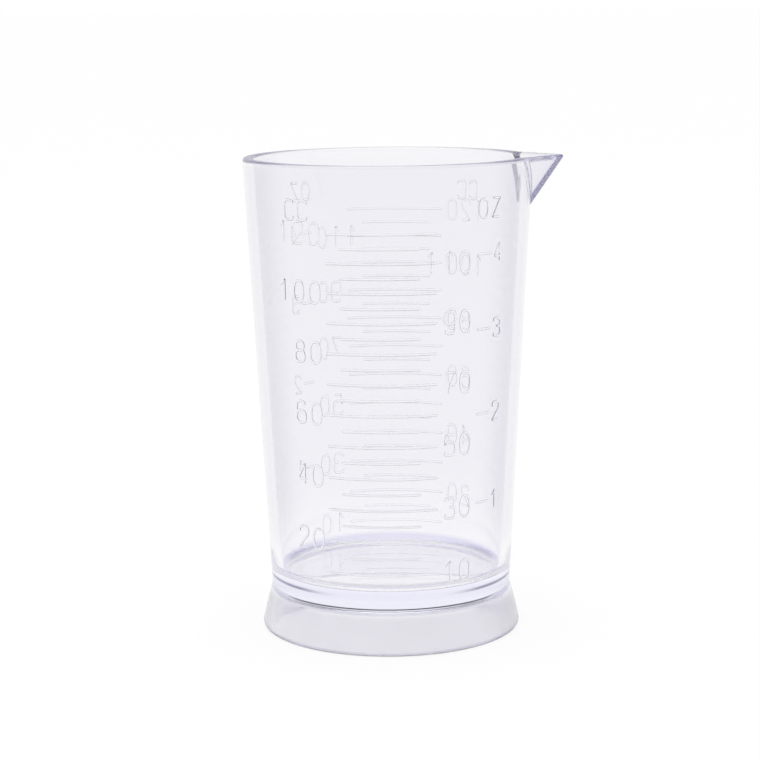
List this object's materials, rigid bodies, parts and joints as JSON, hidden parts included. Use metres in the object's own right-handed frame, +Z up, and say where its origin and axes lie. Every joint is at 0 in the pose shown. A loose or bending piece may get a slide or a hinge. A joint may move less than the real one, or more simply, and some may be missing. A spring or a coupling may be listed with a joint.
{
  "type": "graduated mixing cup",
  "caption": "Clear tapered mixing cup with a V pouring spout, a thick floor above a flared hollow foot, and raised volume scales front and back.",
  "frame": {"origin": "centre of the ring that the cup stands on, on the cup's axis", "axes": "+Z up along the cup's axis, +X towards the spout, -Y towards the front scale"},
  "size_m": [0.0626, 0.0572, 0.095],
  "materials": {
    "clear_plastic": "clear moulded polystyrene with a faint lavender cast and a polished surface"
  },
  "bodies": {
    "root": {"cup_wall": "clear_plastic", "pouring_spout": "clear_plastic", "cup_floor": "clear_plastic", "foot_skirt": "clear_plastic", "front_cc_lines": "clear_plastic", "back_cc_lines": "clear_plastic", "front_oz_lines": "clear_plastic", "back_oz_lines": "clear_plastic"}
  },
  "joints": []
}
